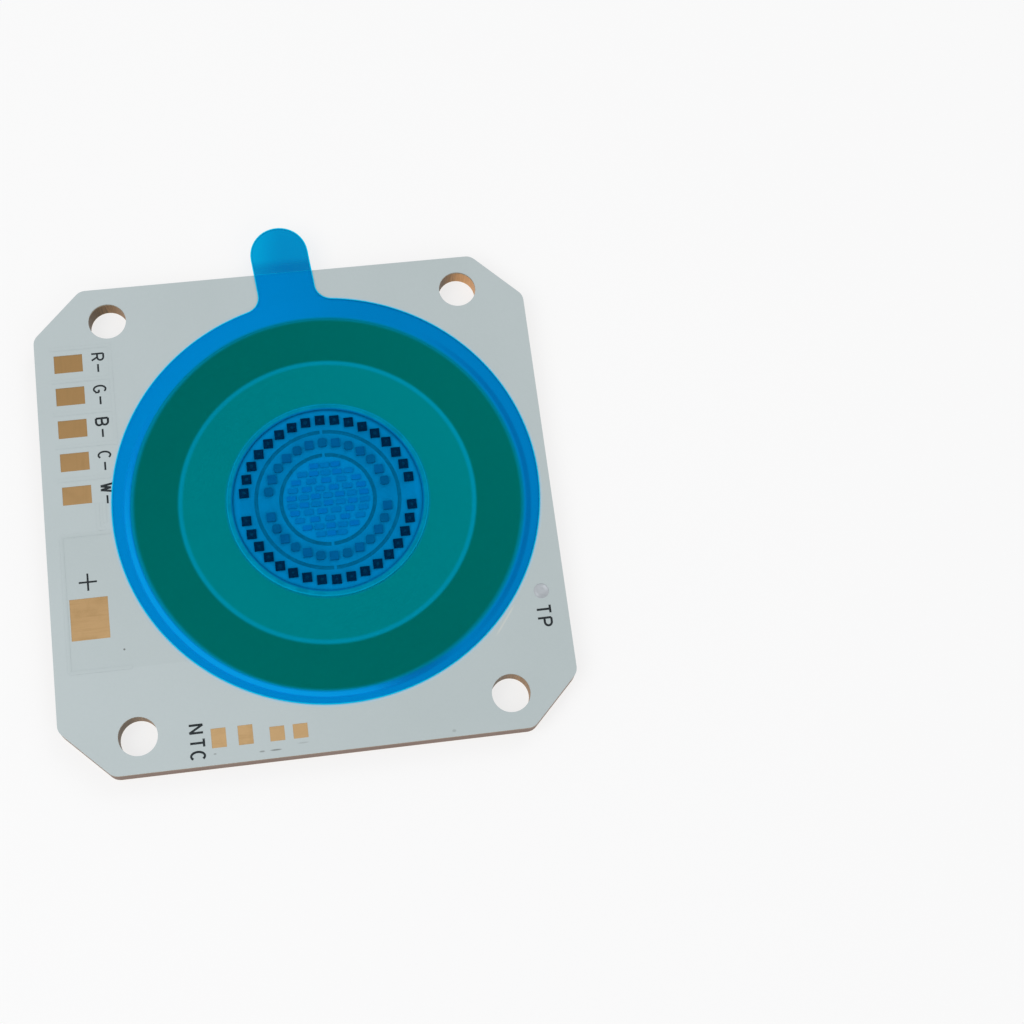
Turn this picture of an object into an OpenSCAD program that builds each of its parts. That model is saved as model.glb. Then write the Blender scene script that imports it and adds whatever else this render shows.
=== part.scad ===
// LED light module. A square copper-backed circuit board carries a round field of bare light chips
// under clear silicone, with solder pads along two edges and a pull-off protective film over the light.
// The origin is the middle of the four screw holes on the underside. +Z points to the light side.

/* [Board] */
// Board width, left to right
board_w = 53; // [51:0.5:58]
// Board height, bottom to top
board_h = 53; // [51:0.5:58]
// How far the board's middle lies to the left of the screw holes' middle
board_shift = 0.4; // [0:0.1:1]
// Leg of the 45 degree corner cuts
corner_cut = 5.2; // [3:0.1:6]
// Round at both ends of each corner cut
corner_round = 1.4; // [0.5:0.1:3]
// Thickness of the copper base plate
base_t = 2.2; // [1.5:0.1:4]
// Break along the lower edges of the base plate and its holes
edge_break = 0.15; // [0.05:0.05:0.4]

/* [Screw holes] */
// Diameter of the screw holes
hole_d = 4; // [3:0.1:4.5]
// Gap from the board's side edges to the middles of the holes, the mean of left and right
hole_inset_x = 7.5; // [6.5:0.1:8.5]
// Gap from the board's top and lower edges to the middles of the holes
hole_inset_y = 3.8; // [3.5:0.1:5]

/* [Layers] */
// Thickness of the lower insulation sheet
lower_t = 0.08; // [0.05:0.01:0.2]
// Thickness of the copper foil of feeds, pads and rings
foil_t = 0.06; // [0.03:0.01:0.1]
// Insulation left above the buried feeds
cover_t = 0.06; // [0.03:0.01:0.2]
// How far the white layers stand above the foil
mask_rise = 0.04; // [0.02:0.01:0.1]

/* [Channel pads] */
// Length of a channel pad
pad_w = 3; // [2:0.1:4]
// Height of a channel pad
pad_h = 2; // [1:0.1:3]
// Spacing of the channel pads
pad_pitch = 3.7; // [3.4:0.1:4]
// Drop from the board's top edge to the middle of the first channel pad
pad_drop = 8.3; // [7.5:0.1:9.5]
// Gap from the board's left edge to the pads
pad_inset = 2; // [1:0.1:2.5]
// Length of the common pad
common_w = 3.9; // [3:0.1:4.5]
// Height of the common pad
common_h = 4.4; // [3:0.1:5]
// Drop from the last channel pad to the common pad, middle to middle
common_drop = 13.4; // [12.4:0.1:15.4]

/* [Feeds] */
// Width of the buried feeds
feed_w = 1.2; // [0.6:0.1:1.4]
// Diameter of the posts that join pads and feeds
post_d = 0.6; // [0.3:0.1:0.7]
// Spacing of the two posts under a pad
post_step = 0.9; // [0.8:0.1:1]

/* [Sensor pads] */
// Width of a sensor pad
sensor_w = 1.5; // [1:0.1:1.8]
// Height of the long pair of sensor pads
sensor_long = 2; // [1.5:0.1:2.5]
// Height of the short pair of sensor pads
sensor_short = 1.5; // [1:0.1:2]
// Spacing within the long pair
sensor_long_pitch = 2.7; // [2.2:0.1:3]
// Spacing within the short pair
sensor_short_pitch = 2.35; // [2.1:0.05:2.6]
// How far the middle of the long pair lies left of the screw holes' middle
sensor_long_x = 9.65; // [9.3:0.05:11]
// How far the middle of the short pair lies left of the screw holes' middle
sensor_short_x = 3.95; // [2:0.05:4.3]
// Gap from the board's lower edge to the sensor pads
sensor_inset = 1.7; // [1:0.1:2]
// Diameter of the round temperature point
point_d = 1.6; // [1:0.1:2]
// Gap from the board's right edge to the temperature point
point_inset = 1.75; // [1.5:0.05:2]
// Rise from the board's lower edge to the middle of the temperature point
point_rise = 14.2; // [12.5:0.1:15.5]

/* [Light area] */
// Place of the light area to the right of the screw holes' middle
light_x = 2.5; // [2:0.1:3]
// Place of the light area above the screw holes' middle
light_y = 0.15; // [-0.5:0.05:0.5]
// Radius of the light area
light_r = 10; // [9:0.1:11]
// Outer radius of the gold ring round the light area
gold_r = 20.6; // [19:0.1:21]
// Width of the dam bead round the light area
dam_w = 0.6; // [0.4:0.05:1]
// Height of the rounded top of the dam bead
dam_crown = 0.15; // [0.05:0.01:0.2]
// Thickness of the clear silicone over the reflector
gel_t = 0.35; // [0.3:0.01:0.6]
// Width of the bus rings between the chips
bus_w = 0.4; // [0.2:0.05:0.5]
// Gaps at the top and bottom of the bus rings
bus_gap = 0.3; // [0.2:0.05:0.6]

/* [Chips] */
// Side of a red chip
red_side = 1; // [0.8:0.05:1.1]
// Height of a red chip
red_t = 0.2; // [0.1:0.01:0.25]
// Side of a white chip
white_side = 0.92; // [0.7:0.01:1]
// Height of a white chip
white_t = 0.28; // [0.15:0.01:0.29]
// Corner circle of a warm white chip
warm_d = 1.06; // [1.03:0.01:1.2]
// Length of a green or blue chip
small_w = 0.95; // [0.8:0.05:1.05]
// Height across a green or blue chip
small_h = 0.52; // [0.3:0.01:0.6]
// Thickness of a green or blue chip
small_t = 0.15; // [0.08:0.01:0.25]
// Least gap between neighbouring chips
chip_gap = 0.08; // [0.05:0.01:0.12]
// Gap from the red chips to the edge of the light area
edge_clear = 0.46; // [0.3:0.01:0.6]
// Gap from the chips of both rings to the outer bus ring
bus_clear = 0.4; // [0.2:0.05:0.5]
// Gap from the white chips to the inner bus ring
inner_clear = 0.5; // [0.2:0.05:0.6]
// Gap from the middle field of chips to the inner bus ring
field_clear = 0.38; // [0.1:0.01:0.5]
// Spacing of the rows in the middle field
row_pitch = 0.84; // [0.75:0.01:0.9]

/* [Film] */
// How far the protective film reaches past the gold ring
film_lap = 1.9; // [1.3:0.1:3.4]
// Thickness of the protective film
film_t = 0.12; // [0.05:0.01:0.3]
// How far the film was laid above the middle of the light
film_shift = 0.5; // [0:0.1:0.8]
// Radius from which the film is stuck down
bond_r = 15.4; // [13:0.1:18]
// Width of the pull tab
tab_w = 6.3; // [4:0.1:8]
// Length of the pull tab beyond the film's rim
tab_length = 8.7; // [5.5:0.1:13.5]
// Lean of the pull tab to the left, in degrees
tab_lean = 5; // [-10:1:10]
// Inner round where the tab meets the film
tab_fillet = 1.8; // [0.5:0.1:3]

/* [Hidden] */
$fn = 96;
// Extra length of a cut beyond the face it opens
cut_over = 1;
// Straight steps that make up a corner round
round_steps = 6;
// Chips in each row of the middle field, from the middle outwards
row_counts = [7, 6, 5, 5, 3];
// Angles at which the feeds of the five channels end, round the light
feed_angles = [135, 150, 180, 195, 225];
// Angle at which the common feed ends
common_angle = 235;

hole_r = hole_d / 2;
hole_span_x = board_w - 2 * hole_inset_x;
hole_span_y = board_h - 2 * hole_inset_y;
left_edge = -board_shift - board_w / 2;
right_edge = -board_shift + board_w / 2;
low_edge = -board_h / 2;
high_edge = board_h / 2;

// Heights of the layers, from the underside up
z_lower = base_t;
z_feed = z_lower + lower_t;
z_face = z_feed + foil_t + cover_t;
z_foil = z_face + foil_t;
z_white = z_foil + mask_rise;
z_gel = z_white + gel_t;
z_film = z_white + film_t;

// Radii of the light area, from its edge inwards
red_reach = red_side / sqrt(2);
white_reach = white_side / sqrt(2);
dam_r = light_r + dam_w;
red_ring_r = light_r - edge_clear - red_reach;
outer_bus_r = red_ring_r - red_reach - bus_clear - bus_w / 2;
white_ring_r = outer_bus_r - bus_w / 2 - bus_clear - white_reach;
inner_bus_r = white_ring_r - white_reach - inner_clear - bus_w / 2;
field_r = inner_bus_r - bus_w / 2 - field_clear;

// Places round a ring, an even count with room for square chips set corner to corner
function ring_places(r, side) = 2 * floor(PI * r / (side * sqrt(2) + chip_gap));
red_places = ring_places(red_ring_r, red_side);
white_places = ring_places(white_ring_r, white_side);

// Rows of the middle field, spread so that the outer corners of their end chips lie on its circle
field_half = sqrt(pow(field_r, 2) - pow(small_w / 2, 2)) - small_h / 2;
row_total = min(len(row_counts), floor(field_half / row_pitch + 0.5));
function row_y(i) = (i + 0.5) * row_pitch;
function row_span(i) = 2 * sqrt(pow(field_r, 2) - pow(row_y(i) + small_h / 2, 2)) - small_w;
function row_count(i) = min(row_counts[i], floor(row_span(i) / (small_w + chip_gap)) + 1);
function row_step(i) = row_count(i) > 1 ? row_span(i) / (row_count(i) - 1) : 0;

// Middles of the pads
last_channel = len(feed_angles) - 1;
pad_x = left_edge + pad_inset + pad_w / 2;
function pad_at(channel) = [pad_x, high_edge - pad_drop - channel * pad_pitch];
common_at = [left_edge + pad_inset + common_w / 2, pad_at(last_channel)[1] - common_drop];
point_at = [right_edge - point_inset - point_d / 2, low_edge + point_rise];

// Radius and reach of the film, from its own middle
film_r = gold_r + film_lap;
tab_reach = film_r + tab_length;

// Where each channel's feed ends under its own chips
function polar(r, angle) = [light_x + r * cos(angle), light_y + r * sin(angle)];
feed_radii = [red_ring_r, field_r - small_w, field_r - small_w, white_ring_r, white_ring_r];
function feed_end(channel) = polar(feed_radii[channel], feed_angles[channel]);
common_end = polar(red_ring_r, common_angle);

// Corners of the board, counter-clockwise
function board_corners(hx, hy, cut) = [
    [-hx + cut, -hy], [hx - cut, -hy], [hx, -hy + cut], [hx, hy - cut],
    [hx - cut, hy], [-hx + cut, hy], [-hx, hy - cut], [-hx, -hy + cut]
];
corners = [
    for (p = board_corners(board_w / 2, board_h / 2, corner_cut)) p - [board_shift, 0]
];
corner_count = len(corners);

// Points of the round that blends the two sides of a corner
function round_points(before, corner, after) =
    let (
        to_before = (before - corner) / norm(before - corner),
        to_after = (after - corner) / norm(after - corner),
        inward = (to_before + to_after) / norm(to_before + to_after),
        half_angle = acos(to_before * inward),
        middle = corner + inward * corner_round / sin(half_angle),
        facing = atan2(-inward[1], -inward[0]),
        swing = 90 - half_angle
    )
    [
        for (i = [0 : round_steps])
            let (a = facing + swing * (2 * i / round_steps - 1))
            middle + corner_round * [cos(a), sin(a)]
    ];
outline = [
    for (i = [0 : corner_count - 1])
        each round_points(
            corners[(i + corner_count - 1) % corner_count], corners[i], corners[(i + 1) % corner_count]
        )
];

module at_light(z) {
    translate([light_x, light_y, z]) children();
}

module at_holes() {
    for (sx = [-1, 1], sy = [-1, 1])
        translate([sx * hole_span_x / 2, sy * hole_span_y / 2]) children();
}

module board_sheet() {
    difference() {
        polygon(outline);
        at_holes() circle(r = hole_r);
    }
}

// One straight wedge along each side of the outline, cutting its lower edge off at 45 degrees
module edge_wedges() {
    sides = len(outline);
    for (i = [0 : sides - 1]) {
        from = outline[i];
        run = outline[(i + 1) % sides] - from;
        translate(from)
            rotate(atan2(run[1], run[0]))
                translate([-cut_over, 0, 0])
                    rotate([90, 0, 90])
                        linear_extrude(norm(run) + 2 * cut_over)
                            polygon([
                                [-cut_over, -cut_over],
                                [edge_break + cut_over, -cut_over],
                                [-cut_over, edge_break + cut_over]
                            ]);
    }
}

module base_plate() {
    color("peru")
        difference() {
            linear_extrude(base_t) board_sheet();
            edge_wedges();
            at_holes()
                translate([0, 0, -cut_over])
                    cylinder(r1 = hole_r + edge_break + cut_over, r2 = hole_r, h = edge_break + cut_over);
        }
}

// A straight foil strip that runs half its width past both ends
module strip(from, to) {
    run = to - from;
    translate((from + to) / 2)
        rotate(atan2(run[1], run[0]))
            square([norm(run) + feed_w, feed_w], center = true);
}

// Two posts stand in line on a feed under its pad, and one stands at its far end
module posts(from, to) {
    step = (to - from) / norm(to - from) * post_step;
    for (p = [from, from + step, to]) translate(p) circle(d = post_d);
}

// A pad on the face, its posts through the upper insulation and its feed below it, in one piece
module circuit(at, w, h, end) {
    color("darkgoldenrod") {
        translate([0, 0, z_feed]) linear_extrude(foil_t) strip(at, end);
        translate([0, 0, z_feed]) linear_extrude(z_face - z_feed) posts(at, end);
        translate([at[0], at[1], z_face]) linear_extrude(foil_t) square([w, h], center = true);
    }
}

module channel_circuit(channel) {
    circuit(pad_at(channel), pad_w, pad_h, feed_end(channel));
}

module red_circuit() { channel_circuit(0); }
module green_circuit() { channel_circuit(1); }
module blue_circuit() { channel_circuit(2); }
module cool_circuit() { channel_circuit(3); }
module warm_circuit() { channel_circuit(4); }
module common_circuit() { circuit(common_at, common_w, common_h, common_end); }

module lower_insulation() {
    color("tan") translate([0, 0, z_lower]) linear_extrude(lower_t) board_sheet();
}

// The upper sheet closes round the feeds and leaves the posts a way up
module upper_insulation() {
    color("burlywood")
        difference() {
            translate([0, 0, z_feed]) linear_extrude(z_face - z_feed) board_sheet();
            translate([0, 0, z_feed - cut_over])
                linear_extrude(cut_over + foil_t) {
                    for (c = [0 : last_channel]) strip(pad_at(c), feed_end(c));
                    strip(common_at, common_end);
                }
            translate([0, 0, z_feed - cut_over])
                linear_extrude(z_face - z_feed + 2 * cut_over) {
                    for (c = [0 : last_channel]) posts(pad_at(c), feed_end(c));
                    posts(common_at, common_end);
                }
        }
}

// Two bare footprints side by side, with their lower edges in line
module sensor_shapes() {
    foot = low_edge + sensor_inset;
    for (s = [-1, 1]) {
        translate([-sensor_long_x + s * sensor_long_pitch / 2 - sensor_w / 2, foot])
            square([sensor_w, sensor_long]);
        translate([-sensor_short_x + s * sensor_short_pitch / 2 - sensor_w / 2, foot])
            square([sensor_w, sensor_short]);
    }
}

module sensor_pads() {
    color("darkgoldenrod") translate([0, 0, z_face]) linear_extrude(foil_t) sensor_shapes();
}

module temperature_point() {
    color("silver")
        translate([point_at[0], point_at[1], z_face]) cylinder(d = point_d, h = foil_t);
}

module gold_ring() {
    color("goldenrod")
        at_light(z_face)
            linear_extrude(foil_t)
                difference() {
                    circle(r = gold_r);
                    circle(r = light_r);
                }
}

// A ring of foil, parted at its top and bottom
module bus_shape(r) {
    difference() {
        circle(r = r + bus_w / 2);
        circle(r = r - bus_w / 2);
        square([bus_gap, 2 * (r + bus_w)], center = true);
    }
}

module bus(r) {
    color("darkgoldenrod") at_light(z_face) linear_extrude(foil_t) bus_shape(r);
}

module inner_bus() { bus(inner_bus_r); }
module outer_bus() { bus(outer_bus_r); }

// The white layer leaves the pads, the temperature point and the gold ring bare
module solder_mask() {
    color("whitesmoke")
        translate([0, 0, z_face])
            linear_extrude(z_white - z_face)
                difference() {
                    board_sheet();
                    translate([light_x, light_y]) circle(r = gold_r);
                    for (c = [0 : last_channel])
                        translate(pad_at(c)) square([pad_w, pad_h], center = true);
                    translate(common_at) square([common_w, common_h], center = true);
                    translate(point_at) circle(d = point_d);
                    sensor_shapes();
                }
}

// The white field under the chips, with slots that show the bus rings
module reflector_layer() {
    color("white")
        at_light(z_face)
            linear_extrude(z_white - z_face)
                difference() {
                    circle(r = light_r);
                    bus_shape(inner_bus_r);
                    bus_shape(outer_bus_r);
                }
}

// A bead with a round crown that stands on the gold ring
module dam_ring() {
    crown_r = (dam_w * dam_w / 4 + dam_crown * dam_crown) / (2 * dam_crown);
    color("snow")
        at_light(0)
            rotate_extrude() {
                translate([light_r, z_foil]) square([dam_w, z_gel - dam_crown - z_foil]);
                intersection() {
                    translate([light_r + dam_w / 2, z_gel - crown_r]) circle(r = crown_r);
                    translate([light_r, z_gel - dam_crown]) square([dam_w, dam_crown]);
                }
            }
}

// Chips round a ring, left out at the two sides where the feeds come in. With two kinds they take
// turns, and the turns swap from one half of the ring to the other.
module ring_of(r, places, kind = 0, kinds = 1) {
    half = places / 2;
    for (k = [0 : places - 1])
        if (k % half != 0 && (k + floor(k / half) * (half + 1)) % kinds == kind)
            translate([r * cos(360 * k / places), r * sin(360 * k / places)]) children();
}

// Rows of chips in the middle field, the two kinds taking turns like the squares of a draughts board
module field_of(kind) {
    for (i = [0 : row_total - 1], s = [0, 1], j = [0 : row_count(i) - 1])
        if ((i + j + s) % 2 == kind)
            translate([(j - (row_count(i) - 1) / 2) * row_step(i), (2 * s - 1) * row_y(i)]) children();
}

module red_chips() {
    color("midnightblue")
        at_light(z_white)
            linear_extrude(red_t) ring_of(red_ring_r, red_places) square(red_side, center = true);
}

module cool_white_chips() {
    color("khaki")
        at_light(z_white)
            linear_extrude(white_t)
                ring_of(white_ring_r, white_places, 0, 2) square(white_side, center = true);
}

module warm_white_chips() {
    color("orange")
        at_light(z_white)
            linear_extrude(white_t)
                ring_of(white_ring_r, white_places, 1, 2)
                    intersection() {
                        square(white_side, center = true);
                        circle(d = warm_d);
                    }
}

module small_chips(kind) {
    at_light(z_white)
        linear_extrude(small_t) field_of(kind) square([small_w, small_h], center = true);
}

module green_chips() { color("mediumseagreen") small_chips(0); }
module blue_chips() { color("royalblue") small_chips(1); }

// The silicone fills the space inside the dam and closes round every chip
module clear_silicone() {
    color("lightcyan", 0.4)
        difference() {
            at_light(z_white) cylinder(r = light_r, h = gel_t);
            red_chips();
            cool_white_chips();
            warm_white_chips();
            green_chips();
            blue_chips();
        }
}

// Outline of the film: a disc with a round-ended tab that runs into it in two inner rounds
module film_shape() {
    round_x = tab_w / 2 + tab_fillet;
    round_y = sqrt(pow(film_r + tab_fillet, 2) - pow(round_x, 2));
    circle(r = film_r);
    rotate(tab_lean) {
        translate([-tab_w / 2, 0]) square([tab_w, tab_reach - tab_w / 2]);
        translate([0, tab_reach - tab_w / 2]) circle(d = tab_w);
        for (s = [0, 1])
            mirror([s, 0])
                difference() {
                    polygon([[0, 0], [round_x, round_y], [tab_w / 2, round_y]]);
                    translate([round_x, round_y]) circle(r = tab_fillet);
                }
    }
}

// The film lies flat over the silicone, slopes to the gold ring and is stuck down from there out
module protective_film() {
    stuck_r = (bond_r + gold_r) / 2;
    color("dodgerblue", 0.6) {
        at_light(0)
            rotate_extrude()
                polygon([
                    [0, z_gel], [dam_r, z_gel], [bond_r, z_foil], [gold_r, z_foil],
                    [gold_r, z_film], [bond_r, z_film], [dam_r, z_gel + film_t], [0, z_gel + film_t]
                ]);
        translate([0, 0, z_white])
            linear_extrude(film_t)
                difference() {
                    translate([light_x, light_y + film_shift]) film_shape();
                    translate([light_x, light_y]) circle(r = stuck_r);
                }
    }
}

base_plate();
lower_insulation();
upper_insulation();
red_circuit();
green_circuit();
blue_circuit();
cool_circuit();
warm_circuit();
common_circuit();
sensor_pads();
temperature_point();
gold_ring();
inner_bus();
outer_bus();
solder_mask();
reflector_layer();
dam_ring();
red_chips();
green_chips();
blue_chips();
cool_white_chips();
warm_white_chips();
clear_silicone();
protective_film();
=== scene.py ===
import math

import bpy
from mathutils import Matrix, Vector
from mathutils.geometry import delaunay_2d_cdt


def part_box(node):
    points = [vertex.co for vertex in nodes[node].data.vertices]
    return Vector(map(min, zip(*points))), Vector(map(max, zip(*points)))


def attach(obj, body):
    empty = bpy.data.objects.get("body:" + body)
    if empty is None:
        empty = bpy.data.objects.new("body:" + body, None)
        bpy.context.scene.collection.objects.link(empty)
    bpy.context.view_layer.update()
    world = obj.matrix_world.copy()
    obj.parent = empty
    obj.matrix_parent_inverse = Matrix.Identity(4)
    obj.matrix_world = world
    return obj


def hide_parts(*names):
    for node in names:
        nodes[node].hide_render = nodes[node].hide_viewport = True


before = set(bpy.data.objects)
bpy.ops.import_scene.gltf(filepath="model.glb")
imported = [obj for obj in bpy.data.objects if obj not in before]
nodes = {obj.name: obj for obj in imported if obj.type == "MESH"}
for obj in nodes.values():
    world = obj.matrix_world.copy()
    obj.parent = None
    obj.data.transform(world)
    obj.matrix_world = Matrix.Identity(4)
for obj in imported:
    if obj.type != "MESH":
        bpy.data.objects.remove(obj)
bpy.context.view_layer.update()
mm = 0.001
print("frame loaded:", len(nodes), "nodes")


def boxOf(node):  # lowest and highest corner of a node, in millimetres
    low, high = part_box(node)
    return low / mm, high / mm


# the measures that the looks are laid out from, in millimetres, read from the frame
boardLow, boardHigh = boxOf("base_plate")
discLow, discHigh = boxOf("reflector_layer")
filmLow, filmHigh = boxOf("protective_film")
lightX = (discLow.x + discHigh.x) / 2
lightY = (discLow.y + discHigh.y) / 2
lightR = discHigh.x - lightX
damR = boxOf("dam_ring")[1].x - lightX
goldR = boxOf("gold_ring")[1].x - lightX
foilTop = boxOf("gold_ring")[1].z
whiteTop = boxOf("solder_mask")[1].z
gelTop = boxOf("clear_silicone")[1].z
filmR = filmHigh.x - lightX
filmY = filmLow.y + filmR
tabHalf = 3.15  # the tab's half width and its lean, which no box gives
tabLean = math.radians(5.0)


def tone(red, green, blue):  # a colour as the eye sees it, 0 to 255
    steps = [c / 255 for c in (red, green, blue)]
    linear = [c / 12.92 if c <= 0.04045 else ((c + 0.055) / 1.055) ** 2.4 for c in steps]
    return (*linear, 1.0)


class Wire:  # one socket, so that sums of sockets and numbers are written as plain maths
    def __init__(self, bench, socket):
        self.bench = bench
        self.socket = socket

    def out(self, name):
        return Wire(self.bench, self.socket.node.outputs[name])

    def maths(self, operation, first, second):
        return self.bench.node("ShaderNodeMath", {"operation": operation}, {0: first, 1: second})

    def __add__(self, other):
        return self.maths("ADD", self, other)

    def __radd__(self, other):
        return self.maths("ADD", other, self)

    def __sub__(self, other):
        return self.maths("SUBTRACT", self, other)

    def __rsub__(self, other):
        return self.maths("SUBTRACT", other, self)

    def __mul__(self, other):
        return self.maths("MULTIPLY", self, other)

    def __rmul__(self, other):
        return self.maths("MULTIPLY", other, self)

    def __truediv__(self, other):
        return self.maths("DIVIDE", self, other)

    def __rtruediv__(self, other):
        return self.maths("DIVIDE", other, self)

    def __pow__(self, other):
        return self.maths("POWER", self, other)


class Bench:  # a node tree that takes new nodes
    def __init__(self, tree):
        self.tree = tree

    def node(self, kind, settings=None, sockets=None):
        made = self.tree.nodes.new(kind)
        for key, value in (settings or {}).items():
            setattr(made, key, value)
        for key, value in (sockets or {}).items():
            for part in value if isinstance(value, list) else [value]:
                if isinstance(part, Wire):
                    self.tree.links.new(part.socket, made.inputs[key])
                else:
                    made.inputs[key].default_value = part
        return Wire(self, made.outputs[0] if len(made.outputs) else None)

    def smooth(self, value, low, high):  # 0 at low, 1 at high
        sockets = {"Value": value, "From Min": low, "From Max": high}
        return self.node("ShaderNodeMapRange", {"interpolation_type": "SMOOTHSTEP"}, sockets)

    def band(self, value, low, high, soft):  # 1 between low and high
        return self.smooth(value, low - soft, low) * self.smooth(value, high + soft, high)

    def blend(self, share, first, second):
        return self.node("ShaderNodeMix", {"data_type": "RGBA"}, {0: share, 6: first, 7: second}).out(2)


class Finish(Bench):  # a material whose patterns are laid out in millimetres
    def __init__(self, name):
        self.material = bpy.data.materials.new(name)
        self.material.use_nodes = True
        super().__init__(self.material.node_tree)
        self.tree.nodes.clear()
        coords = self.node("ShaderNodeTexCoord").out("Object")
        scaled = {0: coords, "Scale": 1 / mm}
        self.place = self.node("ShaderNodeVectorMath", {"operation": "SCALE"}, scaled)
        parts = self.node("ShaderNodeSeparateXYZ", {}, {0: self.place})
        self.x, self.y, self.z = (parts.out(axis) for axis in "XYZ")

    def radius(self, x=lightX, y=lightY):
        across = self.x - x
        along = self.y - y
        return (across * across + along * along) ** 0.5

    def noise(self, scale, detail, stretch=(1, 1, 1)):  # varies about 0.5
        place = self.node("ShaderNodeVectorMath", {"operation": "MULTIPLY"}, {0: self.place, 1: stretch})
        return self.node("ShaderNodeTexNoise", {}, {"Vector": place, "Scale": scale, "Detail": detail})

    def bump(self, height, depth):
        sockets = {"Height": height, "Distance": depth * mm, "Strength": 1.0}
        return self.node("ShaderNodeBump", {}, sockets)

    def principled(self, **sockets):
        named = {key.replace("_", " "): value for key, value in sockets.items()}
        return self.node("ShaderNodeBsdfPrincipled", {}, named)

    def surface(self, shader):
        self.node("ShaderNodeOutputMaterial", {}, {"Surface": shader})
        return self


def dress(finish, *names):  # a better material for CAD nodes
    for name in names:
        for place in nodes[name].material_slots:
            place.material = finish.material


def addPiece(name, mesh, finish=None):
    piece = bpy.data.objects.new(name, mesh)
    bpy.context.scene.collection.objects.link(piece)
    if finish:
        mesh.materials.append(finish.material)
    return piece


def shapeTree(name, sizes):  # a new geometry tree with named sizes and a material
    tree = bpy.data.node_groups.new(name, "GeometryNodeTree")
    tree.interface.new_socket("Geometry", in_out="INPUT", socket_type="NodeSocketGeometry")
    for size in sizes:
        tree.interface.new_socket(size, in_out="INPUT", socket_type="NodeSocketFloat")
    tree.interface.new_socket("Material", in_out="INPUT", socket_type="NodeSocketMaterial")
    tree.interface.new_socket("Geometry", in_out="OUTPUT", socket_type="NodeSocketGeometry")
    bench = Bench(tree)
    return bench, bench.node("NodeGroupInput")


def endTree(bench, given, shape):
    whole = bench.node("GeometryNodeRealizeInstances", {}, {0: shape})
    sockets = {"Geometry": whole, "Material": given.out("Material")}
    bench.node("NodeGroupOutput", {}, {0: bench.node("GeometryNodeSetMaterial", {}, sockets)})


def growPiece(name, start, bench, sizes, finish):  # runs a tree on a start mesh and keeps a plain mesh
    source = addPiece(name + "Start", start)
    modifier = source.modifiers.new("shape", "NODES")
    modifier.node_group = bench.tree
    values = {size: float(value) * mm for size, value in sizes.items()}
    values["Material"] = finish.material
    for socket in bench.tree.interface.items_tree:
        if socket.in_out == "INPUT" and socket.name in values:
            modifier[socket.identifier] = values[socket.name]
    graph = bpy.context.evaluated_depsgraph_get()
    mesh = bpy.data.meshes.new_from_object(source.evaluated_get(graph))
    bpy.data.objects.remove(source)
    return addPiece(name, mesh)


def arc(x, y, across, along, start, end, steps=14):  # part of an ellipse, its angles in degrees
    turns = [math.radians(start + (end - start) * i / steps) for i in range(steps + 1)]
    return [(x + across * math.cos(t), y + along * math.sin(t)) for t in turns]


# the white's soft edge over the gold lies a little further in on the left
veilLook = {"shift": 0.2, "start": 0.3, "full": 0.9}


def veilShift(f):
    toLeft = (lightX - f.x) / f.radius()
    return veilLook["shift"] * f.smooth(toLeft, veilLook["start"], veilLook["full"])


# white printed face
maskLook = {
    "colour": tone(183, 194, 196),
    "shade": tone(170, 182, 183),
    "paintedShadeToRight": 0.35,  # how much of the shade each of four things brings; towards the right it is painted shade
    "shadeInPatches": 0.5,
    "shadeOnCopper": 0.25,
    "shadeInGrain": 0.3,
    "patchScale": 0.11,
    "grainScale": 5.0,
    "copperLow": (-25.3, -15.5),  # the copper round the common pad shows through as a faint tint
    "copperHigh": (-12.5, -0.95),
    "copperSoft": 0.15,
    "specks": [  # middle, half length, half width, strength
        (-19.7, -13.6, 0.12, 0.12, 0.9), (-11.5, -25.4, 0.16, 0.1, 0.45), (12.7, -25.9, 0.22, 0.16, 0.3),
        (-5.4, -25.7, 0.6, 0.09, 0.75), (-6.8, -25.7, 0.3, 0.09, 0.6), (-2.6, -25.3, 0.6, 0.08, 0.25),
    ],
    "speckTone": tone(92, 96, 94),
    "speckRun": (1.4, 0.2),
    "highlightLine": tone(212, 211, 203),  # a pale painted highlight line beside the film
    "highlightLineShare": 0.4,
    "highlightLineTurn": math.radians(-36.7),
    "highlightLineReach": 24.53,
    "highlightLineHalf": 0.03,
    "highlightLineSoft": 0.12,
    "highlightLineLowY": -15.9,
    "highlightLineHighY": -14.2,
    "highlightLineEndSoft": 0.9,
    "underFilm": tone(180, 197, 203),  # the face is a little paler below the film
    "underShare": 0.85,
    "fringe": tone(176, 171, 98),  # a gold tint on the white next to the gold ring, softening the edge between them
    "fringeShare": 0.75,
    "fringeRun": 0.35,
    "filmGlow": tone(168, 204, 226),  # light that leaves the film's cut edge
    "glowShare": 0.6,
    "glowRun": 0.3,
    "roughness": 0.42,
    "roughSpread": 0.12,
    "peelScale": 1.6,
    "peelDepth": 0.006,
}


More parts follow.
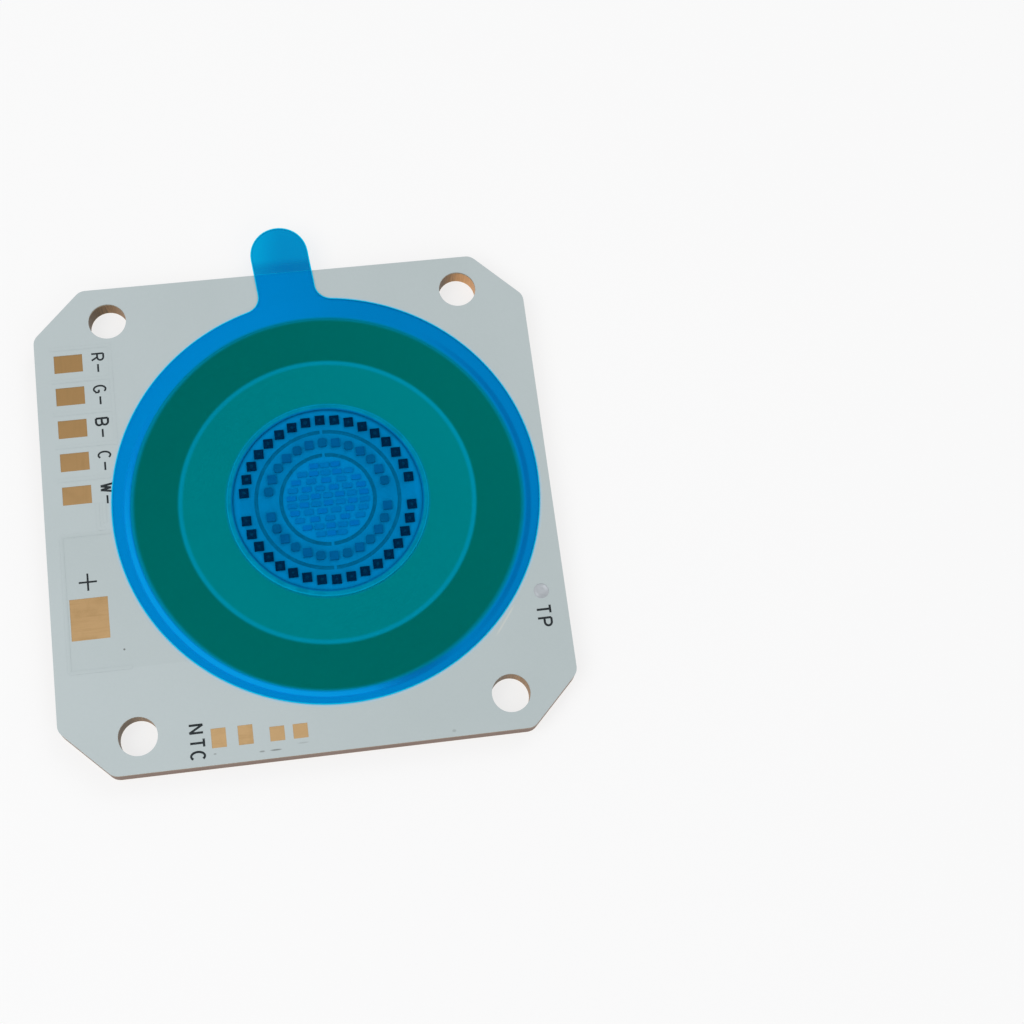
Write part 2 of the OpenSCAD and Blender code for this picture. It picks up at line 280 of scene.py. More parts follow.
def maskFinish():
    f = Finish("whiteMask")
    look = maskLook
    patches = f.noise(look["patchScale"], 4.0)
    grain = f.noise(look["grainScale"], 3.0)
    lowX, lowY = look["copperLow"]
    highX, highY = look["copperHigh"]
    soft = look["copperSoft"]
    copper = f.band(f.x, lowX, highX, soft) * f.band(f.y, lowY, highY, soft)
    # painted shade: the face darkens towards the right, where less light falls
    toRight = f.smooth(f.x, boardLow.x, boardHigh.x)
    share = look["paintedShadeToRight"] * toRight + look["shadeInPatches"] * (patches - 0.4)
    share = share + look["shadeOnCopper"] * copper + look["shadeInGrain"] * (grain - 0.5)
    colour = f.blend(share, look["colour"], look["shade"])
    for x, y, halfLong, halfWide, strength in look["specks"]:
        along, across = (f.x - x) / halfLong, (f.y - y) / halfWide
        speck = f.smooth(along * along + across * across, *look["speckRun"])
        colour = f.blend(strength * speck, colour, look["speckTone"])
    # painted highlight: a pale line beside the film
    reach = f.x * math.cos(look["highlightLineTurn"]) + f.y * math.sin(look["highlightLineTurn"]) - look["highlightLineReach"]
    highlightLine = f.band(reach, -look["highlightLineHalf"], look["highlightLineHalf"], look["highlightLineSoft"])
    highlightLine = highlightLine * f.band(f.y, look["highlightLineLowY"], look["highlightLineHighY"], look["highlightLineEndSoft"])
    colour = f.blend(look["highlightLineShare"] * highlightLine, colour, look["highlightLine"])
    onFilm = f.radius(lightX, filmY)
    acrossTab = (f.x - lightX) * math.cos(tabLean) + (f.y - filmY) * math.sin(tabLean)
    onTab = f.band(acrossTab, -tabHalf, tabHalf, 0.05) * f.smooth(f.y, filmY, filmY + 1)
    under = f.smooth(onFilm, filmR, filmR - 0.1) + onTab
    colour = f.blend(look["underShare"] * under, colour, look["underFilm"])
    fringe = f.smooth(f.radius() + veilShift(f), goldR + look["fringeRun"], goldR - 0.1)
    colour = f.blend(look["fringeShare"] * fringe, colour, look["fringe"])
    glow = f.smooth(onFilm, filmR - 0.1, filmR) * f.smooth(onFilm, filmR + look["glowRun"], filmR + 0.05)
    colour = f.blend(look["glowShare"] * glow * (1 - onTab), colour, look["filmGlow"])
    peel = f.bump(f.noise(look["peelScale"], 2.0), look["peelDepth"])
    rough = look["roughness"] + look["roughSpread"] * (grain - 0.5)
    return f.surface(f.principled(Base_Color=colour, Roughness=rough, Normal=peel))


whiteMask = maskFinish()
dress(whiteMask, "solder_mask")

# gold-plated solder pads
padLook = {
    "top": tone(147, 116, 75),  # the pads darken towards the top of the board
    "low": tone(172, 142, 102),
    "topY": 19.0,
    "lowY": -24.0,
    "streak": tone(138, 111, 72),
    "streakShare": 0.45,
    "stainShare": 0.35,
    "upright": (2.6, 0.25, 1),  # stretch of the brushing
    "level": (0.25, 2.6, 1),
    "turnY": -5.0,  # below this the brushing lies level
    "metallic": 0.85,
    "roughness": 0.4,
    "roughSpread": 0.2,
    "fineDepth": 0.004,
}


def padFinish():
    f = Finish("padGold")
    look = padLook
    base = f.blend(f.smooth(f.y, look["topY"], look["lowY"]), look["top"], look["low"])
    below = f.smooth(f.y, look["turnY"], look["turnY"] - 0.1)
    streaks = (1 - below) * f.noise(1.0, 3.0, look["upright"]) + below * f.noise(1.0, 3.0, look["level"])
    share = look["streakShare"] * f.smooth(streaks, 0.45, 0.8)
    share = share + look["stainShare"] * f.smooth(f.noise(0.7, 3.0), 0.5, 0.8)
    colour = f.blend(share, base, look["streak"])
    rough = look["roughness"] + look["roughSpread"] * (streaks - 0.5)
    fine = f.bump(f.noise(4.0, 2.0, (6, 0.3, 1)), look["fineDepth"])
    shader = f.principled(Base_Color=colour, Metallic=look["metallic"], Roughness=rough, Normal=fine)
    return f.surface(shader)


padGold = padFinish()
circuits = [colour + "_circuit" for colour in ("red", "green", "blue", "cool", "warm", "common")]
dress(padGold, "sensor_pads", *circuits)

# gold ring round the light: painted paler where the film stands off it, a painted reflection from the
# film's underside, with a painted highlight line where the film comes down
ringLook = {
    # the stuck tone is the gold under the film's glue; the clear tone holds the painted reflection
    "stuck": tone(162, 140, 84),
    "clear": tone(190, 170, 118),
    "clearR": 15.3,  # from the clear tone to the stuck one
    "stuckR": 15.55,
    # painted highlight where the film comes down
    "line": tone(199, 187, 150),
    "lineR": 15.42,
    "lineHalf": 0.05,
    "lineSoft": 0.36,
    "halo": tone(186, 178, 160),  # the bead's white runs out on to the gold
    "haloRun": 0.3,
    "rim": tone(186, 184, 160),  # the gold turns paler towards the white face's edge, softening the edge between them
    "rimShare": 0.75,
    "rimRun": 0.4,
    "metallic": 0.8,
    "roughness": 0.42,
    "roughSpread": 0.14,
    "fineDepth": 0.003,
}


def ringFinish():
    f = Finish("ringGold")
    look = ringLook
    radius = f.radius()
    # painted reflection inside the bond radius, painted highlight along it
    colour = f.blend(f.smooth(radius, look["clearR"], look["stuckR"]), look["clear"], look["stuck"])
    low, high = look["lineR"] - look["lineHalf"], look["lineR"] + look["lineHalf"]
    colour = f.blend(f.band(radius, low, high, look["lineSoft"]), colour, look["line"])
    halo = f.smooth(radius, damR + look["haloRun"], damR - 0.1)
    colour = f.blend(halo, colour, look["halo"])
    rim = f.smooth(radius + veilShift(f), goldR - look["rimRun"], goldR + 0.1)
    colour = f.blend(look["rimShare"] * rim, colour, look["rim"])
    rough = look["roughness"] + look["roughSpread"] * (f.noise(0.35, 3.0) - 0.5)
    fine = f.bump(f.noise(7.0, 2.0), look["fineDepth"])
    shader = f.principled(Base_Color=colour, Metallic=look["metallic"], Roughness=rough, Normal=fine)
    return f.surface(shader)


dress(ringFinish(), "gold_ring")

# thin foil rings between the rows of chips
busLook = {"foil": tone(142, 139, 134), "veil": tone(155, 152, 147), "metallic": 0.35, "roughness": 0.5}


def busFinish():
    f = Finish("busFoil")
    veil = f.noise(0.8, 3.0)
    colour = f.blend(f.smooth(veil, 0.35, 0.7), busLook["foil"], busLook["veil"])
    rough = busLook["roughness"] + 0.1 * veil
    return f.surface(f.principled(Base_Color=colour, Metallic=busLook["metallic"], Roughness=rough))


dress(busFinish(), "inner_bus", "outer_bus")

# copper base plate: brushed gold plating on the underside, bare brown copper on its cut edges
plateLook = {
    "gold": tone(203, 165, 96),
    "bloom": tone(214, 188, 142),
    "bloomAt": (3.0, 2.0, 13.0),  # middle and reach
    "bloomShare": 0.55,
    "rosy": tone(176, 128, 86),  # towards the corners, and in wide bands
    "rosyRun": (21.0, 38.0),
    "rosyShare": 0.7,
    "bandShare": 0.3,
    "smudge": tone(132, 92, 54),
    "smudges": [(-16.2, 20.6, 2.0), (17.0, -19.8, 1.6), (19.8, 20.2, 1.3), (-20.6, -19.4, 1.7)],
    "smudgeShare": 0.35,
    "brushed": tone(178, 142, 84),
    "brushedShare": 0.5,
    "fineLines": (0.3, 9.0, 1),  # stretch of the brushing
    "wideLines": (0.16, 3.6, 1),
    "lineDepth": 0.008,
    "rim": tone(226, 186, 108),  # painted highlight on the broken edge, and the palest brushing lines
    "rimShare": 0.4,
    "breakHeight": 0.15,  # the plating ends at the top of the broken edge
    "cut": tone(120, 92, 76),
    "cutDark": tone(100, 78, 66),
    "markShare": 0.45,
    "shear": tone(130, 103, 85),  # a smoother strip along the top of the cut
    "shearRun": (0.55, 0.35),  # below the plate's top
    "shearShare": 0.5,
    "litBore": tone(226, 172, 116),  # painted light and shade: the bores are lit to the right and shaded to the left
    "shadedBore": tone(92, 74, 50),
    "boreReach": 2.6,
    "boreRun": (-2.2, 1.6),
    "holes": [  # middle of each screw hole and the painted light on its wall
        (-19, -22.7, 0.35), (-19, 22.7, 0.4), (19, -22.7, 0.45), (19, 22.7, 0.95),
    ],
    "metallic": 0.92,
    "roughness": 0.3,
}


def plateFinish():
    f = Finish("platedCopper")
    look = plateLook
    lines = 0.6 * f.noise(1.0, 3.0, look["fineLines"]) + 0.4 * f.noise(1.0, 3.0, look["wideLines"])
    x, y, reach = look["bloomAt"]
    bloom = f.smooth(f.radius(x, y), reach, 2.0)
    colour = f.blend(look["bloomShare"] * bloom, look["gold"], look["bloom"])
    corners = f.smooth(f.radius(0, 0), *look["rosyRun"])
    bands = f.smooth(f.noise(0.06, 2.0), 0.45, 0.75)
    colour = f.blend(look["rosyShare"] * corners + look["bandShare"] * bands, colour, look["rosy"])
    ragged = 1.2 * (f.noise(0.9, 4.0) - 0.5)
    for x, y, reach in look["smudges"]:
        spot = f.smooth(f.radius(x, y) + ragged, reach, 0)
        colour = f.blend(look["smudgeShare"] * spot, colour, look["smudge"])
    colour = f.blend(look["brushedShare"] * f.smooth(lines, 0.5, 0.72), colour, look["brushed"])
    colour = f.blend(look["rimShare"] * f.smooth(lines, 0.5, 0.28), colour, look["rim"])
    marks = f.noise(1.0, 3.0, (14.0, 14.0, 0.5))
    cut = f.blend(look["markShare"] * f.smooth(marks, 0.35, 0.75), look["cut"], look["cutDark"])
    wavyZ = f.z + 0.5 * (f.noise(0.9, 3.0, (1, 1, 0)) - 0.5)
    shear = f.smooth(wavyZ, *(boardHigh.z - below for below in look["shearRun"]))
    cut = f.blend(look["shearShare"] * shear, cut, look["shear"])
    for x, y, light in look["holes"]:
        # painted light and shade across each bore, by position
        lit = light * f.smooth(f.x - x, *look["boreRun"]) - 0.2 * f.smooth(marks, 0.35, 0.7)
        litBore = f.blend(lit, look["shadedBore"], look["litBore"])
        inHole = f.smooth(f.radius(x, y), look["boreReach"] + 0.1, look["boreReach"])
        cut = f.blend(inHole, cut, litBore)
    # painted highlight: the broken edge takes the rim's pale tone
    onEdge = f.smooth(f.z, 0.004, 0.012)
    onSide = f.smooth(f.z, look["breakHeight"], look["breakHeight"] + 0.02)
    colour = f.blend(onEdge, colour, look["rim"])
    colour = f.blend(onSide, colour, cut)
    rough = look["roughness"] + 0.18 * lines + 0.1 * onSide
    brushing = f.bump(lines, look["lineDepth"])
    shader = f.principled(Base_Color=colour, Metallic=look["metallic"], Roughness=rough, Normal=brushing)
    return f.surface(shader)


dress(plateFinish(), "base_plate")

# insulation sheets, seen as a thin line along the cut edges
sheetLook = {"resin": tone(168, 156, 132), "fibre": tone(132, 118, 96), "roughness": 0.55}


def sheetFinish():
    f = Finish("insulationSheet")
    fibre = f.noise(2.2, 3.0, (3.0, 3.0, 0.4))
    colour = f.blend(f.smooth(fibre, 0.35, 0.7), sheetLook["resin"], sheetLook["fibre"])
    return f.surface(f.principled(Base_Color=colour, Roughness=sheetLook["roughness"] + 0.15 * fibre))


dress(sheetFinish(), "lower_insulation", "upper_insulation")

# tinned temperature point
pointLook = {
    "tin": tone(166, 171, 176),
    "dull": tone(154, 159, 164),
    "metallic": 0.5,
    "roughness": 0.4,
    "crownRun": 0.45,  # the tin rounds off at its rim
    "crownDepth": 0.06,
}
pointLow, pointHigh = boxOf("temperature_point")


def pointFinish():
    f = Finish("tinnedPoint")
    look = pointLook
    frost = f.noise(1.1, 3.0)
    colour = f.blend(f.smooth(frost, 0.35, 0.75), look["tin"], look["dull"])
    rough = look["roughness"] + 0.2 * (frost - 0.5)
    pointR = (pointHigh.x - pointLow.x) / 2
    away = f.radius((pointLow.x + pointHigh.x) / 2, (pointLow.y + pointHigh.y) / 2)
    crown = f.smooth(away, pointR, pointR - look["crownRun"]) + 0.03 * frost
    crown = f.bump(crown, look["crownDepth"])
    shader = f.principled(Base_Color=colour, Metallic=look["metallic"], Roughness=rough, Normal=crown)
    return f.surface(shader)


dress(pointFinish(), "temperature_point")

sunkShine = 0.1  # what lies in the silicone hardly shines

# white field under the chips and the bead round it
whiteLook = {
    "field": tone(204, 203, 203),
    "grey": tone(190, 190, 191),
    "middle": tone(208, 210, 215),  # among the small chips
    "middleRun": (4.9, 4.4),
    "rimLight": tone(220, 219, 221),  # the field is palest just inside the bead
    "rimLightShare": 0.5,
    "rimLightRun": (0.65, 0.4),
    "rimLightSoft": 0.2,
    "shadow": tone(165, 167, 174),  # where the field and the bead meet
    "fieldRough": 0.6,
    "bead": tone(206, 202, 170),
    "beadGrey": tone(186, 182, 152),
    # painted light: the bead's outer foot is paler, lifting the shade at its foot
    "beadFootLight": tone(240, 236, 206),
    "beadRough": 0.4,
}


def fieldFinish():
    f = Finish("whiteField")
    cloud = f.noise(0.5, 3.0)
    colour = f.blend(f.smooth(cloud, 0.35, 0.75), whiteLook["field"], whiteLook["grey"])
    radius = f.radius()
    colour = f.blend(f.smooth(radius, *whiteLook["middleRun"]), colour, whiteLook["middle"])
    low, high = (lightR - inside for inside in whiteLook["rimLightRun"])
    rimLight = whiteLook["rimLightShare"] * f.band(radius, low, high, whiteLook["rimLightSoft"])
    colour = f.blend(rimLight, colour, whiteLook["rimLight"])
    colour = f.blend(f.smooth(radius, lightR - 0.2, lightR - 0.04), colour, whiteLook["shadow"])
    rough = whiteLook["fieldRough"] + 0.1 * cloud
    return f.surface(f.principled(Base_Color=colour, Roughness=rough, Specular_IOR_Level=sunkShine))


def beadFinish():
    f = Finish("whiteBead")
    cloud = f.noise(0.9, 3.0)
    colour = f.blend(f.smooth(cloud, 0.35, 0.75), whiteLook["bead"], whiteLook["beadGrey"])
    radius = f.radius()
    colour = f.blend(f.smooth(radius, lightR + 0.2, lightR + 0.06), colour, whiteLook["shadow"])
    # painted light on the bead's outer foot
    colour = f.blend(f.smooth(radius, damR - 0.15, damR - 0.03), colour, whiteLook["beadFootLight"])
    return f.surface(f.principled(Base_Color=colour, Roughness=whiteLook["beadRough"] + 0.1 * cloud))


dress(fieldFinish(), "reflector_layer")
dress(beadFinish(), "dam_ring")

# bare chips: dark red-light chips, phosphor-covered white ones, clear green and blue ones
chipLook = {  # body, deeper tone and roughness
    "red_chips": (tone(40, 38, 51), tone(33, 32, 44), 0.3),
    "cool_white_chips": (tone(148, 139, 151), tone(136, 130, 143), 0.5),
    "warm_white_chips": (tone(150, 139, 144), tone(138, 130, 138), 0.5),
    "green_chips": (tone(162, 173, 186), tone(154, 167, 182), 0.3),
    "blue_chips": (tone(156, 169, 192), tone(148, 163, 188), 0.3),
}


def chipFinish(name):
    body, deep, roughness = chipLook[name]
    f = Finish(name.replace("_", "") + "Body")
    shift = f.noise(0.55, 2.0)
    colour = f.blend(f.smooth(shift, 0.35, 0.7), body, deep)
    rough = roughness + 0.1 * shift
    return f.surface(f.principled(Base_Color=colour, Roughness=rough, Specular_IOR_Level=sunkShine))


for chips in chipLook:
    dress(chipFinish(chips), chips)
print("CAD finishes dressed")

# printed terminal marks: each sign is a few strokes in a box one unit high
signLook = {
    "ink": tone(24, 31, 34),
    "faded": tone(44, 52, 55),
    "roughness": 0.5,
    "shine": 0.2,
    "stroke": 0.2,
    "boldStroke": 0.235,
    "height": 0.008,  # about half of it stands above the white face
    "sink": 0.001,
    "layer": 0.0005,  # crossing strokes lie this far above each other
    "layers": 3,
    "padTopY": 18.2,  # the marks of the five small pads
    "padPitch": 3.7,
    "padSignX": -20.3,
    "padSignSize": 1.25,
    "letterUp": 0.5,
    "minusDown": 0.78,
    "boldLetters": "BW",
    "plusMark": [("+", -22.9, -6.1, 1.85)],  # sign, its middle on the board and its size
    "sensorMark": [("N", -13.2, -22.65, 1.38), ("T", -13.2, -24.1, 1.38), ("C", -13.2, -25.35, 1.38)],
    "pointMark": [("T", 23.5, -14.3, 1.4), ("P", 23.5, -15.65, 1.4)],
}
bowl = {"P": arc(0.32, 0.74, 0.28, 0.26, 90, -90), "B": arc(0.34, 0.26, 0.28, 0.26, 90, -90)}
signs = {
    "R": [[(0, 0), (0, 1)], [(0, 1), *bowl["P"], (0, 0.48)], [(0.32, 0.48), (0.6, 0)]],
    "G": [arc(0.31, 0.5, 0.31, 0.5, 48, 318), [(0.36, 0.42), (0.62, 0.42)], [(0.6, 0.42), (0.6, 0.12)]],
    "B": [[(0, 0), (0, 1)], [(0, 1), *bowl["P"], (0, 0.48)], [(0.34, 0.52), *bowl["B"], (0, 0)]],
    "C": [arc(0.31, 0.5, 0.31, 0.5, 46, 314)],
    "W": [
        [(0, 1), (0.17, 0)], [(0.17, 0), (0.34, 0.85)], [(0.34, 0.85), (0.51, 0)], [(0.51, 0), (0.68, 1)],
    ],
    "N": [[(0, 0), (0, 1)], [(0, 1), (0.58, 0)], [(0.58, 0), (0.58, 1)]],
    "T": [[(0.3, 0), (0.3, 1)], [(0, 1), (0.6, 1)]],
    "P": [[(0, 0), (0, 1)], [(0, 1), *bowl["P"], (0, 0.48)]],
    "-": [[(0, 0.5), (0.72, 0.5)]],
    "+": [[(0, 0.5), (1, 0.5)], [(0.5, 0), (0.5, 1)]],
}
thinSigns = []
boldSigns = []
for row, sign in enumerate("RGBCW"):  # they read downwards along the left edge
    rowX, rowY = signLook["padSignX"], signLook["padTopY"] - row * signLook["padPitch"]
    letter = (sign, rowX, rowY + signLook["letterUp"], signLook["padSignSize"])
    minus = ("-", rowX, rowY - signLook["minusDown"], signLook["padSignSize"])
    if sign in signLook["boldLetters"]:
        boldSigns.append(letter)
    else:
        thinSigns.append(letter)
    thinSigns.append(minus)
thinSigns += signLook["plusMark"]
boldSigns += signLook["sensorMark"] + signLook["pointMark"]


def linesMesh(name, lines, look, layers):  # runs of points as a mesh of edges, just below the white face
    points = []
    edges = []
    for count, line in enumerate(lines):
        edges += [(len(points) + i, len(points) + i + 1) for i in range(len(line) - 1)]
        height = (whiteTop - look["sink"] + count % layers * look["layer"]) * mm
        points += [(x * mm, y * mm, height) for x, y in line]
    mesh = bpy.data.meshes.new(name)
    mesh.from_pydata(points, edges, [])
    return mesh


def signLines(placed):  # every sign is turned a quarter turn clockwise
    lines = []
    for sign, x, y, height in placed:
        wide = max(px for stroke in signs[sign] for px, py in stroke)
        for stroke in signs[sign]:
            lines.append([(x + (py - 0.5) * height, y - (px - wide / 2) * height) for px, py in stroke])
    return lines


def sweepTree():  # a low bar with sloped sides along every run of edges
    bench, given = shapeTree("sweptBar", ["Foot Width", "Top Width", "Height"])
    curve = bench.node("GeometryNodeMeshToCurve", {}, {0: given})
    curve = bench.node("GeometryNodeSetCurveNormal", {"mode": "Z_UP"}, {0: curve})
    sizes = {
        "Height": given.out("Height"),
        "Bottom Width": given.out("Foot Width"),
        "Top Width": given.out("Top Width"),
        "Offset": 0.0,
    }
    profile = bench.node("GeometryNodeCurvePrimitiveQuadrilateral", {"mode": "TRAPEZOID"}, sizes)
    sockets = {"Curve": curve, "Profile Curve": profile, "Fill Caps": True}
    bar = bench.node("GeometryNodeCurveToMesh", {}, sockets)
    flat = bench.node("GeometryNodeSetShadeSmooth", {}, {"Geometry": bar, "Shade Smooth": False})
    endTree(bench, given, flat)
    return bench


def inkFinish():
    f = Finish("printInk")
    worn = f.noise(3.0, 3.0)
    colour = f.blend(f.smooth(worn, 0.45, 0.75), signLook["ink"], signLook["faded"])
    rough = signLook["roughness"] + 0.2 * worn
    shader = f.principled(Base_Color=colour, Roughness=rough, Specular_IOR_Level=signLook["shine"])
    return f.surface(shader)


sweptBar = sweepTree()
printInk = inkFinish()
for name, placed, stroke in (
    ("terminal_marks", thinSigns, signLook["stroke"]),
    ("bold_terminal_mark", boldSigns, signLook["boldStroke"]),
):
    sizes = {"Foot Width": stroke, "Top Width": stroke, "Height": signLook["height"]}
    lines = linesMesh(name, signLines(placed), signLook, signLook["layers"])
    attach(growPiece(name, lines, sweptBar, sizes, printInk), "root")
print("marks printed")

# faint ridges where the white layer runs over the edges of the copper below it
ridgeLook = {
    "foot": 0.36,
    "top": 0.1,
    "height": 0.05,
    "sink": 0.004,
    "layer": 0.0007,
    "left": -25.3,
    "right": -19.0,
    "rightTopY": 20.0,
    "rightLowY": 8.6,
    "rowDrop": 0.1,
    "hookLeft": -21.4,  # a small hook below the last small pad
    "hookRight": -20.7,
    "hookTopY": 2.3,
    "hookLowY": -0.5,
    "hookEndY": 0.1,
    "filmGap": 0.25,
}


def ridgeEnd(y):  # a row's ridge stops at the upright one, or short of the film
    edge = lightX - math.sqrt((filmR + ridgeLook["filmGap"]) ** 2 - (y - filmY) ** 2)
    return min(ridgeLook["right"], edge)


def ridgeRuns():
    look = ridgeLook
    left, right = look["left"], look["right"]
    hookLeft, hookRight = look["hookLeft"], look["hookRight"]
    hookTop, hookLow, hookEnd = look["hookTopY"], look["hookLowY"], look["hookEndY"]
    rowEdges = [
        signLook["padTopY"] + (0.5 - row) * signLook["padPitch"] - look["rowDrop"] for row in range(5)
    ]
    commonLow, commonTop = maskLook["copperLow"][1], maskLook["copperHigh"][1]
    return [
        [(right, look["rightTopY"]), (right, look["rightLowY"])],
        *([(left, y), (ridgeEnd(y), y)] for y in rowEdges),
        [(hookLeft, hookTop), (hookLeft, hookLow)],
        [(hookLeft, hookLow), (hookRight, hookLow)],
        [(hookRight, hookTop), (hookRight, hookEnd)],
        [(left, commonTop), (ridgeEnd(commonTop), commonTop)],
        [(left, commonTop), (left, commonLow)],
        [(left, commonLow), (ridgeEnd(commonLow), commonLow)],
    ]


ridges = ridgeRuns()
sizes = {"Foot Width": ridgeLook["foot"], "Top Width": ridgeLook["top"], "Height": ridgeLook["height"]}
ridgeLines = linesMesh("ridges", ridges, ridgeLook, len(ridges))
maskRidges = growPiece("mask_ridges", ridgeLines, sweptBar, sizes, whiteMask)
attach(maskRidges, "root")
print("ridges laid")

# small dark contact windows on the red-light chips
windowLook = {
    "wine": tone(110, 44, 50),
    "deep": tone(84, 34, 42),
    "roughness": 0.3,
    "radius": 0.2,
    "smallest": 0.6,  # share of the radius
    "height": 0.02,
    "corners": 12,
    "seed": 7,
}


def chipMiddles(node):  # the longest edge of each triangle on a square top runs through the chip's middle
    mesh = nodes[node].data
    top = max(v.co.z for v in mesh.vertices)
    found = {}
    for face in mesh.polygons:
        corners = [mesh.vertices[i].co for i in face.vertices]
        if min(c.z for c in corners) < top - 0.001 * mm:
            continue
        pairs = [(corners[i - 1], corners[i]) for i in range(len(corners))]
        first, second = max(pairs, key=lambda pair: (pair[0] - pair[1]).length)
        middle = (first + second) / 2
        found[tuple(round(c / mm, 2) for c in middle)] = middle
    return list(found.values())


def windowTree():
    bench, given = shapeTree("chipWindows", ["Radius", "Height"])
    disc = bench.node("GeometryNodeMeshCylinder", {}, {
        "Vertices": windowLook["corners"], "Radius": given.out("Radius"), "Depth": given.out("Height"),
    })
    spread = {2: windowLook["smallest"], 3: 1.0, "Seed": windowLook["seed"]}
    size = bench.node("FunctionNodeRandomValue", {"data_type": "FLOAT"}, spread)
    sockets = {"Points": given, "Instance": disc, "Scale": size.out(1)}
    endTree(bench, given, bench.node("GeometryNodeInstanceOnPoints", {}, sockets))
    return bench


def windowFinish():
    f = Finish("chipWindow")
    shift = f.noise(0.5, 2.0)
    colour = f.blend(f.smooth(shift, 0.35, 0.7), windowLook["wine"], windowLook["deep"])
    return f.surface(f.principled(Base_Color=colour, Roughness=windowLook["roughness"] + 0.1 * shift))


windowPoints = bpy.data.meshes.new("windowPoints")
windowPoints.from_pydata(chipMiddles("red_chips"), [], [])
sizes = {"Radius": windowLook["radius"], "Height": windowLook["height"]}
windows = growPiece("red_chip_windows", windowPoints, windowTree(), sizes, windowFinish())
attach(windows, "root")
print("chip windows:", len(windows.data.polygons), "faces")

# clear silicone, a hair clear of the white field, the bead and the film
gelLook = {
    "gap": 0.02,
    "hair": 0.004,
    "edgeRound": 0.12,
    "edgeSteps": 6,
    "turns": 128,
    "clear": (0.985, 0.99, 0.99, 1.0),
    "body": tone(225, 232, 232),
    "bodyShare": 0.02,
    "roughness": 0.12,
}


def revolve(name, profile, turns):  # closed round solid, the profile's ends are on the axis
    points = []
    rows = []
    for radius, height in profile:
        count = 1 if radius == 0 else turns
        rows.append(range(len(points), len(points) + count))
        for i in range(count):
            angle = math.tau * i / turns
            x, y = lightX + radius * math.cos(angle), lightY + radius * math.sin(angle)
            points.append((x * mm, y * mm, height * mm))
    faces = []
    for low, high in zip(rows, rows[1:]):
        for i in range(turns):
            j = (i + 1) % turns
            ring = [low[i % len(low)], low[j % len(low)], high[j % len(high)], high[i % len(high)]]
            faces.append(list(dict.fromkeys(ring)))
    mesh = bpy.data.meshes.new(name)
    mesh.from_pydata(points, [], faces)
    return mesh


def gelFinish():
    f = Finish("clearSilicone")
    ripple = f.noise(0.6, 2.0)
    body = f.principled(Base_Color=gelLook["body"], Roughness=gelLook["roughness"] + 0.08 * ripple)
    clear = f.node("ShaderNodeBsdfTransparent", {}, {"Color": gelLook["clear"]})
    return f.surface(f.node("ShaderNodeMixShader", {}, {0: gelLook["bodyShare"], 1: clear, 2: body}))


gelR = lightR - gelLook["gap"]
gelLow, gelHigh = whiteTop + gelLook["hair"], gelTop - gelLook["hair"]
bend = gelLook["edgeRound"]
gelProfile = [(0, gelLow), (gelR, gelLow)]
gelProfile += arc(gelR - bend, gelHigh - bend, bend, bend, 0, 90, gelLook["edgeSteps"])
gelProfile.append((0, gelHigh))
gel = addPiece("silicone_fill", revolve("siliconeFill", gelProfile, gelLook["turns"]), gelFinish())
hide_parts("clear_silicone")
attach(gel, "root")
print("silicone:", len(gel.data.polygons), "faces")

# protective film: a flat cut outline that a tree lifts over the light and brings down on the gold ring
filmLook = {
    "tabRound": 1.8,
    "bondR": 15.4,
    "thickness": 0.11,
    "hair": 0.005,  # stands clear of what it is stuck to
    "stepRun": 0.55,  # run of the slope up from the gold ring to the edge of the white face
    "tabRise": 0.3,
    "fringe": 0.26,  # painted highlight: a paler strip along the cut edge
    "discSteps": 170,  # points along the outline
    "roundSteps": 8,
    "sideSteps": 7,
    "tipSteps": 22,
    "ringSteps": 160,
    "innerSteps": 48,
    "lightRings": [1.5, 3, 4.5, 6, 7.5, 9],  # rings of the mesh over the light, the slope and the gold
    "slopeRings": [11.4, 12.4, 13.4, 14.4],
    "goldRings": [16.4, 17.6, 18.8],
    "stepRings": [1, 0.75, 0.5, 0.25, 0],  # shares of the step's run
    "tabRows": [22.6, 23.6, 24.6, 25.6, 26.6, 27.6, 28.6, 29.4],
    "sharpAngle": 40,
    "clear": (0.03, 0.8, 0.995, 1.0),  # what each of the film's two faces lets through
    "body": tone(0, 84, 150),
    "litPale": tone(0, 176, 248),  # painted light: paler from the gold's edge outwards, to the left and lower left
    "litPaleRun": (0.35, 0.15),
    "tabBody": tone(0, 98, 176),
    # painted highlight along the cut edge
    "edge": tone(0, 200, 238),
    "cover": 0.01,  # share of the body's own colour, and what each place adds to it
    "rimCover": 0.04,
    "rimRun": 0.4,
    "creaseShadeCover": 0.1,  # painted shade: a soft dark band on the right, outside the gold's edge
    "creaseShadeRun": (0.5, 0.7),
    "creaseShadeSoft": 0.3,
    "brightCover": 0.6,  # light caught on the lower left
    "brightRun": (0.2, 0.45),
    "brightSoft": 0.35,
    # the tab's darker blue is partly painted shade, for the floor's shadow under the tab
    "tabCover": 0.36,
    # painted highlight: less cover on the tab's left side, which reads paler
    "tabLeftHighlight": 0.13,
    "tabLeftHighlightRun": (0.8, -3.2),
    "boardShadowCover": 0.14,  # painted shadow: the tab is darkest beside the board, where the board shades the floor
    "boardShadowRun": (0.2, 0.6),
    "boardShadowSoft": 1.2,
    "edgeHighlightCover": 0.8,
    "glossCover": 0.12,
    "roughness": 0.24,
    "shine": 0.06,
}
tipY = (filmHigh.y - filmY - tabHalf) / math.cos(tabLean)


def turned(points):  # from the film's own axes to the board's
    c, s = math.cos(tabLean), math.sin(tabLean)
    return [(lightX + x * c - y * s, filmY + x * s + y * c) for x, y in points]


